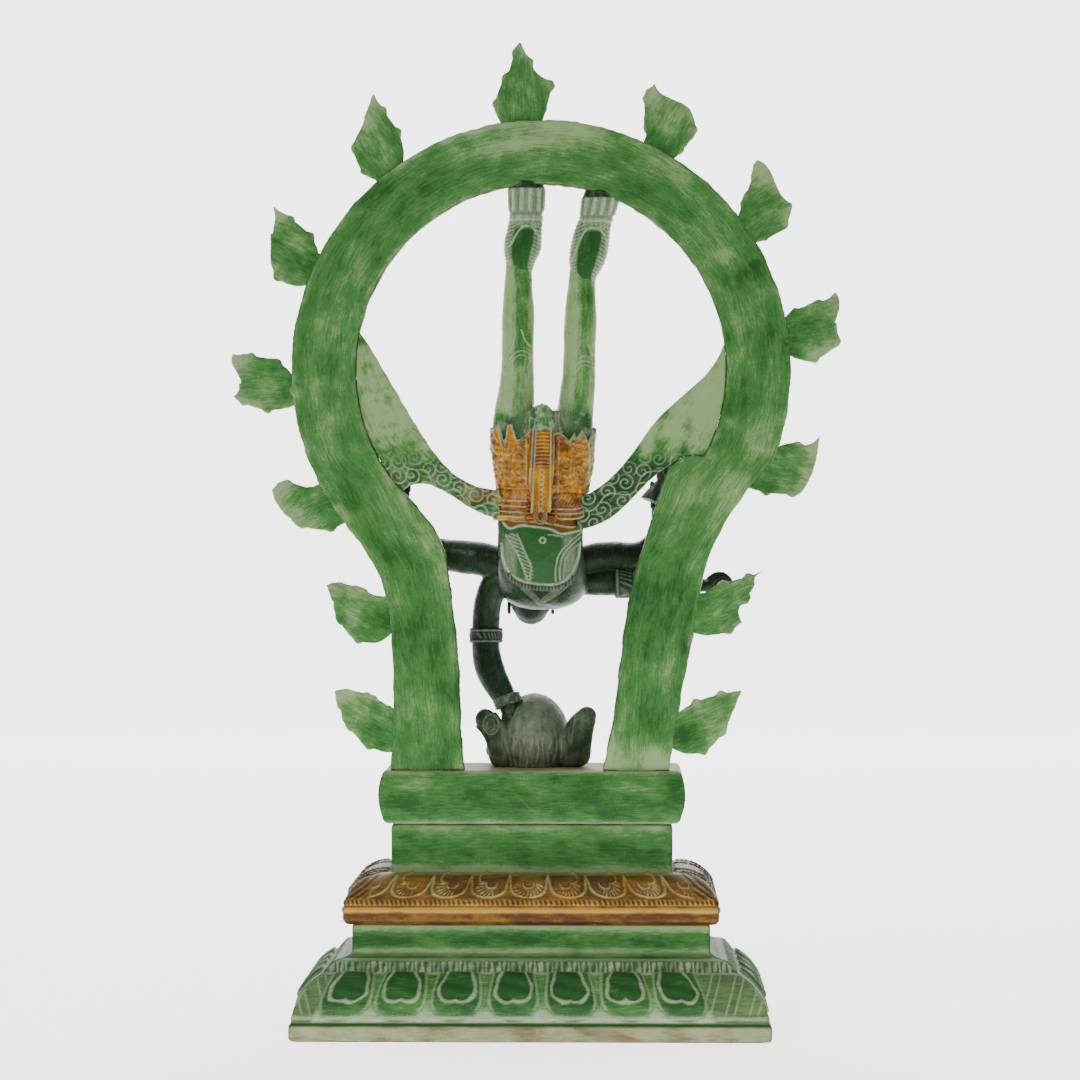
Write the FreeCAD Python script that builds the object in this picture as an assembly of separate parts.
"""A brass shrine statue: an acrobat dancer doing a handstand on a dwarf, inside a flaming arch, on a stepped pedestal.

Units are millimetres. The origin is the centre of the pedestal's footprint, +Z is up, and +Y is the statue's front,
the way the dancer's face looks. The flat back of the arch faces -Y. Left is -X, which is also the dancer's own left.
"""
import FreeCAD, Part
import math
import os

Vec = FreeCAD.Vector
os.makedirs("parts", exist_ok=True)

# ---------------------------------------------------------------- driving dimensions: pedestal
slab_width = 115.0          # top block, left to right
slab_depth = 60.0           # top block, front to back
slab_height = 20.8
slab_edge = 2.6             # rounding of the top block's lower edge
slab_bulge = 1.6            # how far the top block's sides swell
upper_neck_inset = 3.3      # how far the upper neck stands in from the top block
upper_neck_height = 18.9
gold_flare = 17.6           # how far the gold moulding stands out from the upper neck
gold_curve_height = 13.2
gold_lip_height = 5.3
lower_neck_inset = 3.4      # how far the lower neck stands in from the gold lip
lower_neck_height = 10.6
cove_height = 2.6           # hollow between the bead band and the lower neck
bead_flare = 10.2           # how far the bead band's foot stands out from the lower neck
bead_slope = 3.8            # how far the bead band leans in
bead_height = 4.2
petal_flare = 21.8          # how far the petal band's foot stands out from the lower neck
petal_height = 17.6
foot_flare = 1.0            # how far the foot band stands out from the petal band
foot_height = 7.4
wall = 3.2                  # wall of the hollow castings
register_step = 1.6         # height of the spigot with which each casting sits in the one below
fit_clearance = 0.15        # gap round spigots, tenons and screws

# ---------------------------------------------------------------- driving dimensions: arch
arch_thickness = 5.0
arch_setback = 2.0          # from the top block's back face to the arch's back face
ring_centre_x = 3.5
ring_centre_above_slab = 154.5
ring_outer_radius = 96.3
ring_inner_radius = 71.3
tenon_width = 14.0
tenon_thickness = 3.0
tenon_depth = 9.0           # how far a foot's tenon reaches below the top of the slab
flame_thickness = 3.6
flame_bite = 2.0            # how far a flame's root is let into the arch
blob_radius = 2.6           # lumps of braze at four of the flames' roots

# ---------------------------------------------------------------- driving dimensions: fixings
rod_radius = 3.0
rod_engagement = 8.0        # how far the rod is screwed up into the dwarf
strap_width = 16.0
strap_thickness = 3.0
nut_across_flats = 10.0
nut_height = 4.0
washer_radius = 7.0
washer_thickness = 1.2
rod_tail = 1.6              # thread left below the nut

# ---------------------------------------------------------------- driving dimensions: dancer and dwarf
drawn_ring_radius = 71.3    # the inside radius and the drop to the slab that the figure's places are written for
drawn_drop = 154.5
leg_plane = 4.6             # from the arch's back face forward to the middle of the legs
sash_thickness = 3.4
sash_setback = 0.8          # how far the sash's back face lies in front of the arch's
armlet_width = 5.8
cuff_thickness = 0.9        # bell anklets, armlets and bangles stand out this far
dwarf_half_width = 14.0
dwarf_half_length = 17.0
dwarf_height = 28.5
drum_radius = 7.2
drum_length = 17.0

# ---------------------------------------------------------------- levels worked out from those
foot_top = foot_height
petal_top = foot_top + petal_height
bead_top = petal_top + bead_height
gold_underside = bead_top + cove_height + lower_neck_height
gold_lip_top = gold_underside + gold_lip_height
gold_top = gold_lip_top + gold_curve_height
slab_underside = gold_top + upper_neck_height
slab_top = slab_underside + slab_height

slab_half = (slab_width / 2, slab_depth / 2)
upper_neck_half = tuple(h - upper_neck_inset for h in slab_half)
gold_half = tuple(h + gold_flare for h in upper_neck_half)
lower_neck_half = tuple(h - lower_neck_inset for h in gold_half)
petal_half = tuple(h + petal_flare for h in lower_neck_half)
foot_half = tuple(h + foot_flare for h in petal_half)

arch_back = -slab_half[1] + arch_setback
arch_front = arch_back + arch_thickness
ring_centre_z = slab_top + ring_centre_above_slab
leg_y = arch_back + leg_plane
band = ring_outer_radius - ring_inner_radius
foot_centres = (ring_centre_x - 0.454 * ring_outer_radius, ring_centre_x + 0.38 * ring_outer_radius)
rod_x = ring_centre_x - 3.2
rod_y = 4.0
ledge = foot_top + 0.36 * petal_height
strap_underside = ledge - strap_thickness


def save(name, shape):
    """Writes one node's solids to its own STEP file."""
    shape.exportStep("parts/" + name + ".step")


# ================================================================ helpers: flat outlines
def curve(points, start=None, end=None):
    """A smooth edge through points given as (x, z), in the plane y = 0, with optional end directions."""
    line = Part.BSplineCurve()
    places = [Vec(x, 0, z) for x, z in points]
    if start and end:
        line.interpolate(Points=places, InitialTangent=Vec(start[0], 0, start[1]),
                         FinalTangent=Vec(end[0], 0, end[1]))
    else:
        line.interpolate(places)
    return line.toShape()


def straight(a, b):
    """A straight edge between two (x, z) points."""
    return Part.makeLine(Vec(a[0], 0, a[1]), Vec(b[0], 0, b[1]))


def arc(a, middle, b):
    """A circular edge through three (x, z) points."""
    return Part.Arc(*[Vec(x, 0, z) for x, z in (a, middle, b)]).toShape()


def plate(edges, back, thickness):
    """A flat plate with that outline, from y = back to y = back + thickness."""
    face = Part.Face(Part.Wire(Part.__sortEdges__(edges)))
    face.translate(Vec(0, back, 0))
    return face.extrude(Vec(0, thickness, 0))


# ================================================================ helpers: round limbs
RING_POINTS = 8


def ring(centre, along, across, half_width, half_depth):
    """A closed oval round centre, square to along. across is the way that half_width is measured."""
    along = Vec(along).normalize()
    side = Vec(across) - along * along.dot(Vec(across))
    side.normalize()
    up = along.cross(side)
    places = []
    for k in range(RING_POINTS):
        turn = 2 * math.pi * k / RING_POINTS
        places.append(centre + side * (half_width * math.cos(turn)) + up * (half_depth * math.sin(turn)))
    oval = Part.BSplineCurve()
    oval.interpolate(places, PeriodicFlag=True)
    return Part.Wire(oval.toShape())


def limb(stations, across=(1, 0, 0), first=None, last=None):
    """A smooth closed limb through stations (x, y, z, half_width, half_depth); first and last set the end directions."""
    centres = [Vec(*s[:3]) for s in stations]
    rings = []
    for k, station in enumerate(stations):
        before = centres[max(k - 1, 0)]
        after = centres[min(k + 1, len(centres) - 1)]
        along = after - before
        if k == 0 and first:
            along = Vec(*first)
        if k == len(stations) - 1 and last:
            along = Vec(*last)
        rings.append(ring(centres[k], along, across, station[3], station[4]))
    return Part.makeLoft(rings, True, False)


def egg(centre, half_x, half_y, half_z):
    """An ellipsoid."""
    ball = Part.makeSphere(1.0)
    size = FreeCAD.Matrix()
    size.scale(half_x, half_y, half_z)
    egg_shape = ball.transformGeometry(size)
    egg_shape.translate(Vec(*centre))
    return egg_shape


def hoop(centre, along, radius_x, radius_y, wire_radius):
    """A round wire bent to an oval round centre, square to along."""
    hoop_shape = Part.makeTorus(1.0, wire_radius / max(radius_x, radius_y))
    size = FreeCAD.Matrix()
    size.scale(radius_x, radius_y, max(radius_x, radius_y))
    hoop_shape = hoop_shape.transformGeometry(size)
    turn = FreeCAD.Rotation(Vec(0, 0, 1), Vec(*along))
    hoop_shape.Placement = FreeCAD.Placement(Vec(*centre), turn)
    return hoop_shape


# ================================================================ pedestal: three hollow castings
def moulding(outline, half):
    """A solid whose outline, as (stand-out, z) edges, runs round a rectangle of half sizes half, mitred at its corners."""
    solids = []
    for axis in (0, 1):
        edges = []
        for kind, *places in outline:
            right = [(half[axis] + out, z) for out, z in places]
            left = [(-x, z) for x, z in right]
            for side in (right, left):
                edges.append({"line": straight, "arc": arc}[kind](*side))
        top, bottom = outline[-1][-1], outline[0][1]
        for out, z in (top, bottom):
            edges.append(straight((-half[axis] - out, z), (half[axis] + out, z)))
        reach = 2 * max(half) + 200
        solid = plate(edges, -reach / 2, reach)
        if axis == 1:
            solid.rotate(Vec(0, 0, 0), Vec(0, 0, 1), 90)
        solids.append(solid)
    return solids[0].common(solids[1])


def box_between(half, low, high):
    """A block centred on the Z axis."""
    return Part.makeBox(2 * half[0], 2 * half[1], high - low, Vec(-half[0], -half[1], low))


def lotus_plinth():
    """The lowest casting: foot band, petal band, bead band and the lower neck, hollow in three steps."""
    lip = petal_flare + foot_flare
    bead_lean = bead_flare - bead_slope
    outline = [
        ("line", (lip, 0.0), (lip, foot_top - 0.8)),
        ("line", (lip, foot_top - 0.8), (petal_flare, foot_top)),
        ("arc", (petal_flare, foot_top), (0.89 * petal_flare, foot_top + 0.5 * petal_height), (bead_flare, petal_top)),
        ("line", (bead_flare, petal_top), (bead_lean, bead_top)),
        ("arc", (bead_lean, bead_top), (0.36 * bead_lean, bead_top + 0.38 * cove_height), (0.0, bead_top + cove_height)),
        ("line", (0.0, bead_top + cove_height), (0.0, gold_underside)),
    ]
    casting = moulding(outline, lower_neck_half)
    room_below = tuple(h + 0.82 * petal_flare - wall for h in lower_neck_half)
    room_middle = tuple(h + bead_flare - wall for h in lower_neck_half)
    room_above = tuple(h - wall for h in lower_neck_half)
    casting = casting.cut(box_between(room_below, 0, ledge))
    casting = casting.cut(box_between(room_middle, 0, petal_top - wall))
    return casting.cut(box_between(room_above, 0, gold_underside))


def gold_tier():
    """The middle casting: lip, gold leaf moulding and the upper neck."""
    outline = [
        ("line", (gold_flare - 1.4, gold_underside), (gold_flare, gold_underside + 1.6)),
        ("line", (gold_flare, gold_underside + 1.6), (gold_flare, gold_lip_top)),
        ("arc", (gold_flare, gold_lip_top), (0.77 * gold_flare, gold_lip_top + 0.70 * gold_curve_height),
         (0.0, gold_top)),
        ("line", (0.0, gold_top), (0.0, slab_underside)),
    ]
    casting = moulding(outline, upper_neck_half)
    room_below = tuple(h + 0.45 * gold_flare - wall for h in upper_neck_half)
    room_above = tuple(h - wall for h in upper_neck_half)
    casting = casting.cut(box_between(room_below, gold_underside, gold_lip_top + 0.15 * gold_curve_height))
    casting = casting.cut(box_between(room_above, gold_underside, slab_underside))
    return casting.fuse(spigot(lower_neck_half, room_below, gold_underside))


def spigot(socket_half, room, level):
    """A rim below a casting that drops inside the neck of the casting under it."""
    outer = tuple(h - wall - fit_clearance for h in socket_half)
    rim = box_between(outer, level - register_step, level + wall)
    inner = tuple(min(o - wall, r) for o, r in zip(outer, room))
    return rim.cut(box_between(inner, level - register_step, level + wall))


def slab_casting():
    """The top casting: the block that the arch and the dwarf stand on, hollow from below."""
    outline = [
        ("line", (-slab_edge, slab_underside), (0.0, slab_underside + slab_edge)),
        ("arc", (0.0, slab_underside + slab_edge), (slab_bulge, slab_underside + 0.5 * slab_height),
         (0.0, slab_top - 0.9)),
        ("line", (0.0, slab_top - 0.9), (-0.9, slab_top)),
    ]
    block = moulding(outline, slab_half)
    room = tuple(h - wall - slab_edge for h in slab_half)
    block = block.cut(box_between(room, slab_underside, slab_top - wall))
    block = block.fuse(spigot(upper_neck_half, room, slab_underside))
    for x in foot_centres:
        slot = Part.makeBox(tenon_width + 2 * fit_clearance, tenon_thickness + 2 * fit_clearance, 2 * tenon_depth)
        slot.translate(Vec(x - tenon_width / 2 - fit_clearance, arch_back - fit_clearance, slab_top - tenon_depth))
        block = block.cut(slot)
    rod_hole = Part.makeCylinder(rod_radius + fit_clearance, 2 * wall, Vec(rod_x, rod_y, slab_top - 1.5 * wall))
    return block.cut(rod_hole)


# ================================================================ arch, its flames and the sash
def at(across, forward, up):
    """A place on the figure: across and up are measured from the ring's centre at the drawn size, forward is y."""
    wide = ring_inner_radius / drawn_ring_radius
    tall = wide if up > 0 else ring_centre_above_slab / drawn_drop
    return ring_centre_x + across * wide, forward, ring_centre_z + up * tall


def on_ring(radius, clock):
    """The (x, z) place on a circle round the ring's centre, clock degrees clockwise from the top."""
    turn = math.radians(clock)
    return ring_centre_x + radius * math.sin(turn), ring_centre_z + radius * math.cos(turn)


def flat(places):
    """(across, up) pairs at the drawn size turned into (x, z)."""
    return [at(u, 0, w)[::2] for u, w in places]


left_outside = [(-76.5, -58.5), (-65.5, -73.5), (-59.5, -89.0), (-57.4, -109.0), (-56.8, -130.0), (-58.2, -154.5)]
left_inside = [(-49.0, -51.5), (-38.5, -66.5), (-34.7, -86.0), (-31.6, -113.0), (-31.0, -132.0), (-29.3, -154.5)]
right_outside = [(82.5, -43.0), (71.5, -58.5), (64.2, -74.0), (59.6, -97.5), (56.6, -113.0), (52.0, -138.0),
                 (49.7, -154.5)]
right_inside = [(54.0, -34.0), (43.5, -55.0), (37.6, -74.0), (32.5, -97.5), (29.0, -126.0), (23.5, -154.5)]


def arch():
    """The flat ring on its two legs, with a tenon under each foot."""
    left_start = on_ring(ring_outer_radius, -120)
    right_start = on_ring(ring_outer_radius, 112)
    left_turn = on_ring(ring_inner_radius, -128)
    right_turn = on_ring(ring_inner_radius, 118)
    edges = [
        arc(left_start, on_ring(ring_outer_radius, 0), right_start),
        curve([right_start] + flat(right_outside)),
        straight(flat(right_outside)[-1], flat(right_inside)[-1]),
        curve([right_turn] + flat(right_inside)),
        arc(right_turn, on_ring(ring_inner_radius, 0), left_turn),
        curve([left_turn] + flat(left_inside)),
        straight(flat(left_inside)[-1], flat(left_outside)[-1]),
        curve([left_start] + flat(left_outside)),
    ]
    body = plate(edges, arch_back, arch_thickness)
    for x in foot_centres:
        tenon = Part.makeBox(tenon_width, tenon_thickness, tenon_depth + 1.0,
                             Vec(x - tenon_width / 2, arch_back, slab_top - tenon_depth + 0.3))
        body = body.fuse(tenon)
    return body.removeSplitter()


# Each flame is a list of smooth runs between sharp points, as (across, up) from the ring's centre.
flames = [
    [[(-14.8, 94.0), (-17.2, 106.0), (-12.2, 116.5), (-9.6, 124.4), (-8.0, 126.2)],
     [(-8.0, 126.2), (-5.2, 121.0), (0.0, 113.4), (4.6, 111.6)],
     [(4.6, 111.6), (3.2, 104.0), (0.4, 95.6)]],
    [[(-63.6, 73.2), (-70.0, 77.5), (-72.2, 84.0), (-71.6, 90.0)],
     [(-71.6, 90.0), (-68.6, 96.0), (-66.4, 102.5), (-64.6, 106.6)],
     [(-64.6, 106.6), (-60.0, 99.5), (-55.6, 93.0), (-53.2, 80.2)]],
    [[(-85.9, 44.8), (-89.0, 52.0), (-97.0, 58.8), (-103.4, 63.2)],
     [(-103.4, 63.2), (-103.6, 53.0), (-104.8, 44.3), (-101.6, 35.0)],
     [(-101.6, 35.0), (-96.5, 32.4), (-90.4, 32.7)]],
    [[(-96.0, -2.2), (-105.5, 4.6), (-112.0, 5.6), (-119.0, 6.2)],
     [(-119.0, 6.2), (-118.3, 0.0), (-115.9, -5.4), (-119.0, -10.4)],
     [(-119.0, -10.4), (-112.5, -14.2), (-104.0, -15.8), (-94.6, -13.5)]],
    [[(-84.0, -44.0), (-90.0, -45.2), (-96.0, -43.6), (-104.0, -46.2)],
     [(-104.0, -46.2), (-97.5, -57.2), (-88.0, -61.8), (-73.5, -57.5)]],
    [[(-59.5, -88.0), (-68.2, -85.1), (-75.9, -82.4), (-82.8, -83.2)],
     [(-82.8, -83.2), (-79.7, -92.0), (-75.4, -101.2), (-68.2, -105.5), (-57.6, -101.6)]],
    [[(-56.0, -132.2), (-62.4, -127.5), (-69.5, -124.4), (-79.7, -124.0)],
     [(-79.7, -124.0), (-74.4, -138.0), (-67.0, -145.4), (-56.6, -147.6)]],
    [[(39.0, 86.6), (40.4, 93.0), (39.6, 100.0), (43.9, 110.2)],
     [(43.9, 110.2), (48.1, 105.2), (54.0, 102.6), (58.6, 98.6)],
     [(58.6, 98.6), (59.6, 93.0), (57.0, 87.0), (51.0, 81.0)]],
    [[(76.0, 59.0), (79.0, 68.0), (81.0, 73.6), (83.2, 80.9)],
     [(83.2, 80.9), (88.5, 76.0), (92.5, 67.5), (96.7, 63.9)],
     [(96.7, 63.9), (94.8, 56.0), (91.0, 52.2), (82.7, 48.8)]],
    [[(94.0, 20.0), (100.5, 24.2), (106.3, 25.8), (113.2, 29.7)],
     [(113.2, 29.7), (114.6, 22.0), (113.2, 15.5), (115.2, 11.2)],
     [(115.2, 11.2), (111.5, 6.8), (108.0, 4.4), (95.6, 5.6)]],
    [[(90.0, -30.6), (94.5, -28.6), (101.0, -28.9), (107.5, -25.0)],
     [(107.5, -25.0), (106.0, -34.5), (103.4, -42.5), (99.8, -48.1)],
     [(99.8, -48.1), (90.5, -48.2), (79.5, -45.5)]],
    [[(60.0, -89.0), (66.0, -84.0), (76.0, -80.6), (86.7, -77.0)],
     [(86.7, -77.0), (81.4, -82.4), (80.9, -88.2)],
     [(80.9, -88.2), (76.6, -92.5), (77.8, -97.5)],
     [(77.8, -97.5), (70.0, -102.0), (58.0, -101.3)]],
    [[(53.0, -132.0), (60.9, -127.5), (68.0, -125.2), (77.4, -123.6)],
     [(77.4, -123.6), (72.0, -137.0), (64.7, -146.4), (49.8, -145.6)]],
]
blobs = [(-94.0, -8.0), (81.0, 55.0), (96.0, 11.5), (90.0, -38.0)]


def flame(runs):
    """One flat hand-cut flame, its root let into the arch's edge by flame_bite."""
    root_start, root_end = flat([runs[0][0], runs[-1][-1]])
    inward = Vec(ring_centre_x - (root_start[0] + root_end[0]) / 2, 0, 0)
    if abs(runs[0][0][0]) < abs(runs[0][0][1]) and runs[0][0][1] > 0:
        inward = Vec(0, 0, -1)
    inward = inward.normalize() * flame_bite
    inner_start = (root_start[0] + inward.x, root_start[1] + inward.z)
    inner_end = (root_end[0] + inward.x, root_end[1] + inward.z)
    edges = [curve(flat(run)) for run in runs]
    edges += [straight(root_end, inner_end), straight(inner_end, inner_start), straight(inner_start, root_start)]
    return plate(edges, arch_back + (arch_thickness - flame_thickness) / 2, flame_thickness)


def sash(upper, lower, ring_clocks):
    """A flying end of the dancer's sash: a thin web from the hip out to the inside of the ring."""
    top, bottom = [on_ring(ring_inner_radius + 0.5, clock) for clock in ring_clocks]
    middle = on_ring(ring_inner_radius + 0.5, sum(ring_clocks) / 2)
    upper_places, lower_places = flat(upper), flat(lower)
    edges = [
        curve([top] + upper_places),
        straight(upper_places[-1], lower_places[-1]),
        curve([bottom] + lower_places),
        arc(top, middle, bottom),
    ]
    return plate(edges, arch_back + sash_setback, sash_thickness)


# ================================================================ the dancer
def body(stations, across=(1, 0, 0), first=None, last=None):
    """A limb whose stations are (across, y, up, half_width, half_depth) on the figure."""
    return limb([at(*s[:3]) + tuple(s[3:]) for s in stations], across, first, last)


def grown(stations, start, stop, extra):
    """Those stations from start to stop, each fatter by extra: the outside of a cuff worn over the limb."""
    return [s[:3] + (s[3] + extra, s[4] + extra) for s in stations[start:stop]]


torso_stations = [
    (0.5, leg_y + 0.6, -16.0, 13.0, 5.6), (0.8, leg_y + 0.4, -26.0, 18.6, 8.4), (0.6, leg_y + 0.8, -40.0, 18.0, 9.2),
    (0.2, leg_y + 1.4, -51.0, 16.9, 8.6), (-0.4, leg_y + 2.4, -62.0, 16.4, 8.4), (-0.2, leg_y + 5.6, -74.0, 16.6, 8.8),
    (0.4, leg_y + 12.5, -83.0, 17.2, 8.6), (0.6, leg_y + 21.0, -86.0, 16.2, 7.2), (0.6, leg_y + 27.0, -86.5, 10.5, 5.2),
]
left_leg = [
    (-6.4, leg_y + 4.0, 65.0, 5.0, 4.8), (-7.0, leg_y + 3.0, 57.0, 5.7, 5.2), (-8.0, leg_y + 2.0, 47.0, 5.7, 5.2),
    (-8.6, leg_y + 1.4, 39.0, 5.2, 5.2), (-8.8, leg_y + 1.4, 22.0, 6.3, 6.6), (-9.0, leg_y - 0.2, 8.0, 6.2, 6.0),
    (-9.2, leg_y - 0.2, -4.0, 6.6, 6.4), (-10.2, leg_y + 0.2, -14.0, 7.5, 7.2), (-10.8, leg_y + 0.4, -24.0, 8.0, 7.6),
    (-10.2, leg_y + 0.6, -33.0, 7.8, 7.4),
]
right_leg = [
    (21.4, leg_y + 4.0, 62.0, 5.0, 4.8), (20.2, leg_y + 3.0, 54.0, 5.7, 5.2), (17.4, leg_y + 2.0, 44.0, 5.7, 5.2),
    (16.0, leg_y + 1.4, 36.0, 5.2, 5.2), (15.2, leg_y + 1.4, 20.0, 6.3, 6.6), (14.8, leg_y - 0.2, 7.0, 6.2, 6.0),
    (14.5, leg_y - 0.2, -4.0, 6.5, 6.4), (13.4, leg_y + 0.2, -14.0, 7.0, 7.2), (12.6, leg_y + 0.4, -24.0, 7.8, 7.6),
    (11.6, leg_y + 0.6, -33.0, 7.8, 7.4),
]
support_arm = [
    (-11.0, leg_y + 21.0, -83.0, 5.8, 5.8), (-19.2, leg_y + 21.4, -85.0, 5.8, 5.8),
    (-21.8, leg_y + 22.0, -95.0, 5.4, 5.3), (-22.0, leg_y + 22.4, -108.0, 5.5, 5.3),
    (-20.2, leg_y + 22.4, -117.0, 5.8, 5.2), (-16.4, leg_y + 21.6, -124.5, 5.0, 4.8),
    (-13.4, leg_y + 20.4, -130.5, 4.4, 4.2),
]
left_raised_arm = [
    (-12.0, leg_y + 20.0, -77.0, 5.8, 6.2), (-22.0, leg_y + 21.0, -73.6, 5.8, 6.6),
    (-35.0, leg_y + 23.0, -72.0, 5.8, 6.4), (-46.0, leg_y + 26.0, -69.0, 5.0, 5.4),
    (-53.0, leg_y + 29.0, -62.0, 4.4, 4.4), (-55.6, leg_y + 31.0, -51.0, 3.6, 3.6),
]
right_raised_arm = [
    (13.0, leg_y + 18.0, -75.0, 5.4, 5.4), (23.0, leg_y + 19.0, -72.2, 5.6, 5.6),
    (34.0, leg_y + 20.0, -72.0, 5.4, 5.4), (42.0, leg_y + 21.0, -69.5, 5.0, 4.8),
    (45.6, leg_y + 21.0, -63.0, 4.2, 4.2), (46.0, leg_y + 20.6, -58.0, 3.6, 3.6),
]
right_swung_arm = [
    (12.0, leg_y + 21.0, -81.6, 5.6, 5.8), (23.0, leg_y + 21.6, -81.4, 6.0, 6.2),
    (36.0, leg_y + 25.0, -81.6, 5.8, 5.8), (47.0, leg_y + 30.0, -82.4, 4.6, 4.6),
    (56.0, leg_y + 32.0, -83.4, 3.8, 3.8), (62.0, leg_y + 33.0, -83.6, 3.2, 3.2),
]
left_foot = [
    (-5.8, leg_y + 1.6, 56.6, 6.0, 6.4), (-5.7, leg_y + 1.5, 61.0, 6.4, 6.6), (-5.6, leg_y + 1.4, 66.0, 6.9, 6.8),
    (-5.6, leg_y + 1.4, 70.8, 7.1, 6.8),
]
right_foot = [
    (20.6, leg_y + 1.6, 55.6, 6.0, 6.4), (21.4, leg_y + 1.5, 59.0, 6.4, 6.6), (22.2, leg_y + 1.4, 63.0, 6.8, 6.8),
    (23.0, leg_y + 1.4, 66.8, 7.0, 6.8),
]


def rounded(shape_stations, across=(1, 0, 0)):
    """A limb with a ball at its first station: an arm with its shoulder."""
    shoulder = shape_stations[0]
    ball = Part.makeSphere(0.97 * min(shoulder[3:]), Vec(*at(*shoulder[:3])))
    return body(shape_stations, across).fuse(ball)


def finger(root, tip, radius):
    """A finger: a tapered rod with a round tip."""
    start, end = Vec(*at(*root)), Vec(*at(*tip))
    length = (end - start).Length
    rod = Part.makeCone(radius, 0.8 * radius, length, start, end - start)
    return rod.fuse(Part.makeSphere(0.8 * radius, end))


def fused(solids):
    """All of those solids as one."""
    return solids[0].multiFuse(solids[1:]) if len(solids) > 1 else solids[0]


def hand(wrist, palm, fingertips, across, radius=1.15):
    """A palm with its fingers; across is the way the knuckles run."""
    solids = [limb([at(*wrist) + (3.2, 2.8), at(*palm) + (3.6, 2.2)], across)]
    solids.append(Part.makeSphere(2.6, Vec(*at(*palm))))
    knuckle = Vec(*across).normalize()
    for k, tip in enumerate(fingertips):
        offset = knuckle * (1.9 * (k - (len(fingertips) - 1) / 2))
        root = tuple(p + o for p, o in zip(palm, (offset.x, offset.y, offset.z)))
        solids.append(finger(root, tip, radius))
    return fused(solids)


def dwarf_at(across, forward, up):
    """A place on the dwarf: across from the rod, forward is y, up from the top of the slab."""
    return rod_x + across, forward, slab_top + up * dwarf_height / 28.5


def dwarf_limb(stations, across=(1, 0, 0)):
    """A limb of the dwarf, with a ball at each end."""
    places = [dwarf_at(*s[:3]) + tuple(s[3:]) for s in stations]
    balls = [Part.makeSphere(0.97 * min(p[3:]), Vec(*p[:3])) for p in (places[0], places[-1])]
    return fused([limb(places, across)] + balls)


def nearest_face(solid, x, z):
    """How far back a solid reaches at (x, z)."""
    line = Part.LineSegment(Vec(x, -200, z), Vec(x, 200, z)).toShape().common(solid)
    return min(v.Y for v in line.Vertexes)


def above_slab(solid):
    """That part of a solid that stands above the slab."""
    ground = Part.makeBox(400, 400, 100, Vec(-200, -200, slab_top - 100))
    return solid.cut(ground)


# ---------------------------------------------------------------- dancer: bodies before they are fitted together
torso = fused([body(torso_stations)])
leg_left = body(left_leg).cut(torso)
leg_right = body(right_leg).cut(torso)
foot_left = body(left_foot, first=(0, 0, 1), last=(0, 0, 1)).cut(leg_left)
foot_right = body(right_foot, first=(0, 0, 1), last=(0, 0, 1)).cut(leg_right)
bells_left = body(grown(left_leg, 1, 4, cuff_thickness)).cut(leg_left).cut(foot_left)
bells_right = body(grown(right_leg, 1, 4, cuff_thickness)).cut(leg_right).cut(foot_right)
hip_cloth = body(grown(torso_stations, 0, 4, cuff_thickness)).cut(torso).cut(leg_left).cut(leg_right)
arm_support = rounded(support_arm).cut(torso)
arm_left_raised = rounded(left_raised_arm, (0, 1, 0)).cut(torso).cut(arm_support)
arm_right_raised = rounded(right_raised_arm, (0, 1, 0)).cut(torso)
arm_right_swung = rounded(right_swung_arm, (0, 1, 0)).cut(torso).cut(arm_right_raised)
arm_cuff = body(grown(support_arm, 2, 4, cuff_thickness)).cut(arm_support)
arm_cuff = arm_cuff.common(Part.makeBox(60, 60, armlet_width, Vec(*at(-50.0, -40.0, -106.0))))
swung_cuff = body(grown(right_swung_arm, 1, 4, cuff_thickness), (0, 1, 0)).cut(arm_right_swung).cut(arm_right_raised)
swung_cuff = swung_cuff.common(Part.makeBox(1.5 * armlet_width, 60, 60, Vec(*at(28.4, -40.0, -110.0))))

head_place = (-4.6, leg_y + 34.5, -87.6)
neck = limb([at(-0.6, leg_y + 25.0, -86.5) + (4.8, 4.4), at(-3.8, leg_y + 31.0, -87.0) + (4.6, 4.4)])
skull = egg(at(*head_place), 8.6, 9.2, 10.6)
jaw = egg(at(head_place[0], head_place[1] + 1.6, head_place[2] - 5.2), 6.6, 6.8, 6.4)
nose = finger((head_place[0], head_place[1] + 8.6, head_place[2] + 2.0),
              (head_place[0], head_place[1] + 10.0, head_place[2] - 2.4), 0.9)
head = fused([skull, jaw, nose, neck]).cut(torso).cut(arm_right_swung)
crown_stations = [
    (-4.5, leg_y + 33.5, -81.0, 8.8, 9.0), (-4.2, leg_y + 33.0, -76.5, 8.4, 8.6), (-3.6, leg_y + 32.0, -70.0, 6.4, 6.6),
    (-3.0, leg_y + 31.2, -63.5, 4.2, 4.2), (-2.6, leg_y + 31.0, -59.5, 1.6, 1.6),
]
hair_crown = body(crown_stations).cut(head).cut(torso)
ear_rings = []
for side in (-1, 1):
    ear = at(head_place[0] + side * 8.6, head_place[1] - 0.5, head_place[2] - 4.6)
    ear_rings.append(hoop(ear, (1, 0, 0), 2.3, 2.3, 0.7).cut(head))

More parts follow.
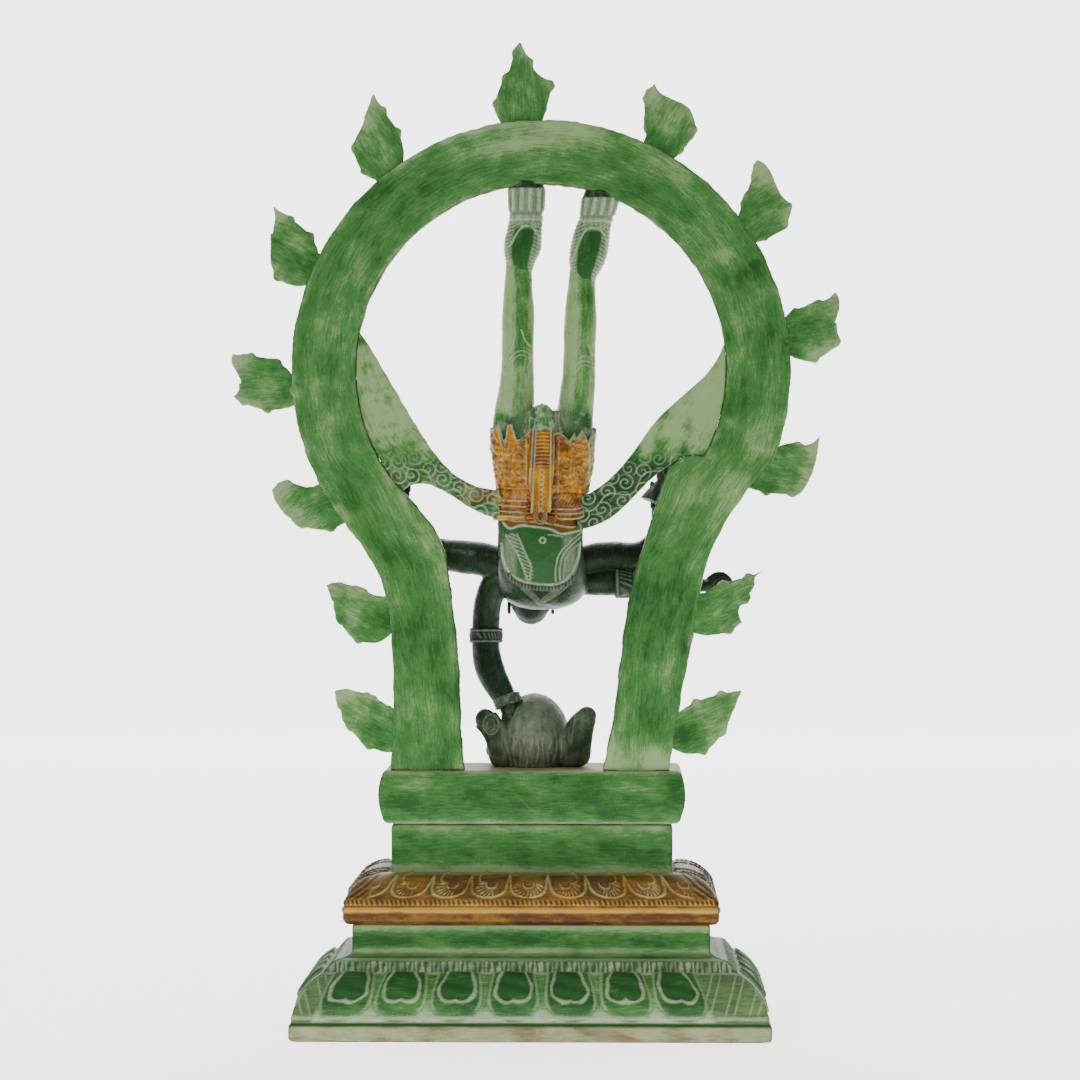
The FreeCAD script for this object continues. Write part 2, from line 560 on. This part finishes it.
pleat_top, pleat_end = at(0.4, 0, -16.0), at(0.0, 0, -55.0)
pleat_face = [
    curve([(pleat_top[0] - 4.2, pleat_top[2]), (pleat_top[0] - 4.6, pleat_end[2] + 18), (pleat_end[0] - 3.6, pleat_end[2])]),
    straight((pleat_end[0] - 3.6, pleat_end[2]), (pleat_end[0] + 3.6, pleat_end[2])),
    curve([(pleat_end[0] + 3.6, pleat_end[2]), (pleat_top[0] + 4.6, pleat_end[2] + 18), (pleat_top[0] + 4.2, pleat_top[2])]),
    arc((pleat_top[0] + 4.2, pleat_top[2]), (pleat_top[0], pleat_top[2] + 2.4), (pleat_top[0] - 4.2, pleat_top[2])),
]
front_pleat = plate(pleat_face, leg_y - 10.4, 9.0).cut(torso).cut(hip_cloth).cut(leg_left).cut(leg_right)

belt_place = at(0.0, leg_y + 1.7, -54.5)
belt = fused([hoop((belt_place[0], belt_place[1], belt_place[2] + rise), (0, 0, 1), 17.6, 9.2, 1.4)
              for rise in (-2.3, 0.0, 2.3)])
belt = belt.cut(torso).cut(hip_cloth).cut(front_pleat)
buckle_place = at(0.0, leg_y - 8.6, -56.2)
buckle = egg(buckle_place, 5.8, 2.4, 4.2).cut(torso).cut(hip_cloth).cut(belt).cut(front_pleat)
navel_place = at(0.4, leg_y - 6.6, -65.8)
torso = torso.cut(Part.makeSphere(0.9, Vec(*navel_place)))

necklace_line = [at(u, 0, w) for u, w in
                 [(-12.4, -78.6), (-8.8, -82.2), (-3.6, -83.8), (4.0, -84.2), (9.0, -83.0), (12.4, -79.6)]]
necklace = limb([(x, nearest_face(torso, x, z), z, 1.1, 1.1) for x, y, z in necklace_line], (0, 1, 0)).cut(torso)

# ---------------------------------------------------------------- dancer: hands and what they hold
hand_support = hand((-13.8, leg_y + 20.4, -129.5), (-12.0, leg_y + 19.6, -134.6),
                    [(-14.6, leg_y + 18.0, -139.8), (-12.6, leg_y + 17.4, -140.6), (-10.4, leg_y + 17.2, -140.4),
                     (-8.2, leg_y + 18.0, -138.8)], (1, 0, 0)).cut(arm_support)
bangles = fused([hoop(at(-14.0 + 0.5 * k, leg_y + 20.8 - 0.2 * k, -127.5 - 1.2 * k), (0.35, -0.15, -1), 5.0, 4.7, 0.8)
                 for k in range(3)]).cut(arm_support).cut(hand_support)

drum_place = Vec(*at(48.0, leg_y + 20.0, -43.5))
drum_way = Vec(0.35, 0.1, 1).normalize()
half_drum = Part.makeCone(drum_radius, 0.42 * drum_radius, drum_length / 2, drum_place - drum_way * (drum_length / 2),
                          drum_way)
other_half = Part.makeCone(0.42 * drum_radius, drum_radius, drum_length / 2, drum_place, drum_way)
drum = half_drum.fuse(other_half).removeSplitter()
hand_drum = hand((46.0, leg_y + 20.6, -58.1), (46.4, leg_y + 26.6, -52.9),
                 [(43.0, leg_y + 20.6, -43.7), (44.6, leg_y + 18.0, -45.7), (49.4, leg_y + 18.0, -46.1),
                  (51.4, leg_y + 20.4, -47.7)], (1, 0, 0)).cut(arm_right_raised).cut(drum)

bowl_place = Vec(*at(-56.0, leg_y + 31.5, -41.5))
bowl = Part.makeCone(2.4, 5.4, 4.6, bowl_place, Vec(0, 0, 1))
bowl = bowl.fuse(Part.makeCone(4.4, 0.4, 11.0, bowl_place + Vec(0, 0, 4.6), Vec(0, 0, 1)))
hand_bowl = hand((-55.6, leg_y + 31.0, -51.4), (-55.8, leg_y + 31.2, -46.6),
                 [(-59.2, leg_y + 29.6, -41.2), (-57.8, leg_y + 34.6, -40.8), (-53.4, leg_y + 34.4, -40.8),
                  (-52.4, leg_y + 29.4, -41.4)], (1, 0, 0)).cut(arm_left_raised).cut(bowl)

curl = hoop(at(69.5, leg_y + 33.0, -84.0), (0, 1, 0), 4.4, 4.4, 1.3)
hand_swung = hand((62.0, leg_y + 33.0, -83.6), (65.0, leg_y + 33.0, -83.8),
                  [(71.0, leg_y + 33.0, -79.2), (72.6, leg_y + 33.0, -81.6), (72.8, leg_y + 33.0, -85.0)],
                  (0, 1, 0)).fuse(curl).cut(arm_right_swung)

# ---------------------------------------------------------------- dwarf
dwarf_body = egg(dwarf_at(0, rod_y, 0.38 * dwarf_height), dwarf_half_width, dwarf_half_length, 0.62 * dwarf_height)
dwarf_trunk = above_slab(dwarf_body)
dwarf_body = dwarf_trunk.cut(hand_support)
dwarf_legs = []
for stations in (
        [(-11.4, rod_y - 4.0, 4.6, 6.6, 6.4), (-12.6, rod_y - 9.0, 9.0, 5.8, 5.2), (-15.6, rod_y - 11.0, 14.6, 5.0, 4.4),
         (-18.8, rod_y - 12.0, 18.8, 5.0, 4.2)],
        [(14.6, rod_y - 4.0, 4.6, 7.6, 6.4), (16.2, rod_y - 9.0, 9.0, 6.6, 5.2), (18.0, rod_y - 11.0, 15.0, 5.6, 4.4),
         (20.9, rod_y - 12.0, 20.2, 4.0, 3.8)]):
    dwarf_legs.append(above_slab(dwarf_limb(stations)).cut(dwarf_trunk))
dwarf_arms = []
for side in (-1, 1):
    stations = [(side * 12.0, rod_y + 10.0, 8.0, 4.6, 4.6), (side * 15.0, rod_y + 16.0, 5.0, 4.0, 4.0),
                (side * 9.0, rod_y + 22.0, 3.4, 3.0, 3.0), (side * 5.0, rod_y + 23.0, 3.0, 2.6, 2.6)]
    dwarf_arms.append(above_slab(dwarf_limb(stations, (0, 0, 1))).cut(dwarf_trunk))
dwarf_head = egg(dwarf_at(0, rod_y + 17.5, 12.5), 7.4, 7.0, 8.0)
dwarf_head = dwarf_head.fuse(egg(dwarf_at(0, rod_y + 14.0, 19.0), 5.2, 5.0, 4.6))
dwarf_head = above_slab(dwarf_head).cut(dwarf_trunk).cut(dwarf_arms[0]).cut(dwarf_arms[1])

# ---------------------------------------------------------------- fixings inside the pedestal
rod_low = strap_underside - washer_thickness - nut_height - rod_tail
rod_high = slab_top + rod_engagement
tie_rod = Part.makeCylinder(rod_radius, rod_high - rod_low, Vec(rod_x, rod_y, rod_low))
rod_room = Part.makeCylinder(rod_radius, rod_high - rod_low, Vec(rod_x, rod_y, rod_low))
wide_room = Part.makeCylinder(rod_radius + fit_clearance, rod_high - rod_low, Vec(rod_x, rod_y, rod_low))
dwarf_body = dwarf_body.cut(rod_room)
strap_reach = lower_neck_half[0] + 0.5 * petal_flare
strap = Part.makeBox(2 * strap_reach, strap_width, strap_thickness,
                     Vec(-strap_reach, rod_y - strap_width / 2, strap_underside)).cut(wide_room)
washer = Part.makeCylinder(washer_radius, washer_thickness, Vec(rod_x, rod_y, strap_underside - washer_thickness))
washer = washer.cut(wide_room)
hexagon = [Vec(rod_x + nut_across_flats / math.sqrt(3) * math.cos(math.radians(60 * k)),
               rod_y + nut_across_flats / math.sqrt(3) * math.sin(math.radians(60 * k)),
               strap_underside - washer_thickness - nut_height) for k in range(7)]
nut = Part.Face(Part.makePolygon(hexagon)).extrude(Vec(0, 0, nut_height)).cut(rod_room)

# ---------------------------------------------------------------- arch fitted to its flames and sash
flame_plates = [flame(runs) for runs in flames]
arch_ring = arch()
for solid in flame_plates:
    arch_ring = arch_ring.cut(solid)
sash_left = sash([(-58.5, -4.0), (-46.0, -25.0), (-35.0, -39.0), (-14.0, -46.5)],
                 [(-46.5, -44.0), (-30.0, -51.6), (-14.0, -56.6)], (-78, -131))
sash_right = sash([(63.0, -2.5), (46.5, -17.5), (34.0, -34.0), (14.0, -50.0)],
                  [(48.0, -38.0), (34.0, -51.0), (14.0, -61.6)], (81, 119))
figure_core = [torso, hip_cloth, leg_left, leg_right, belt]
for solid in [arch_ring] + figure_core:
    sash_left = sash_left.cut(solid)
    sash_right = sash_right.cut(solid)
sash_right = sash_right.cut(drum).cut(hand_drum).cut(arm_right_raised)
foot_left = foot_left.cut(arch_ring)
foot_right = foot_right.cut(arch_ring)
for u, w in blobs:
    x, y, z = at(u, arch_back + 0.3, w)
    arch_ring = arch_ring.fuse(egg((x, y, z), 1.2 * blob_radius, 0.5 * blob_radius, blob_radius).cut(
        fused([f for f in flame_plates if f.BoundBox.isInside(Vec(x, arch_back + 2.5, z))] or [drum])))


def one_solid(shape):
    """The largest solid of a shape: what is left over from fitting, a sliver, is dropped."""
    return max(shape.Solids, key=lambda s: s.Volume)


nodes = {
    "lotus_plinth": lotus_plinth(), "gold_moulding_tier": gold_tier(), "seat_slab": slab_casting(),
    "tie_rod": tie_rod, "tie_rod_nut": nut, "tie_rod_washer": washer, "bottom_strap": strap,
    "arch_ring": arch_ring, "sash_left": sash_left, "sash_right": sash_right,
    "torso": torso, "hip_cloth": hip_cloth, "front_pleat": front_pleat, "belt_buckle": buckle,
    "leg_left": leg_left, "leg_right": leg_right, "foot_left": foot_left, "foot_right": foot_right,
    "ankle_bells_left": bells_left, "ankle_bells_right": bells_right,
    "arm_support": arm_support, "arm_left_raised": arm_left_raised,
    "arm_right_raised": arm_right_raised, "arm_right_swung": arm_right_swung,
    "armlet_support": arm_cuff, "armlet_swung": swung_cuff, "hand_support": hand_support,
    "hand_drum": hand_drum, "hand_bowl": hand_bowl, "hand_swung": hand_swung,
    "drum": drum, "flame_bowl": bowl, "head": head, "hair_crown": hair_crown,
    "dwarf_body": dwarf_body, "dwarf_head": dwarf_head,
    "dwarf_leg_left": dwarf_legs[0], "dwarf_leg_right": dwarf_legs[1],
    "dwarf_arm_left": dwarf_arms[0], "dwarf_arm_right": dwarf_arms[1],
    "earring_left": ear_rings[0], "earring_right": ear_rings[1],
}
several = {"waist_belt": belt, "necklace": necklace, "wrist_bangles": bangles}
for k, solid in enumerate(flame_plates):
    nodes["flame_%02d" % (k + 1)] = solid
for name, shape in nodes.items():
    save(name, one_solid(shape))
for name, shape in several.items():
    save(name, one_solid(shape))
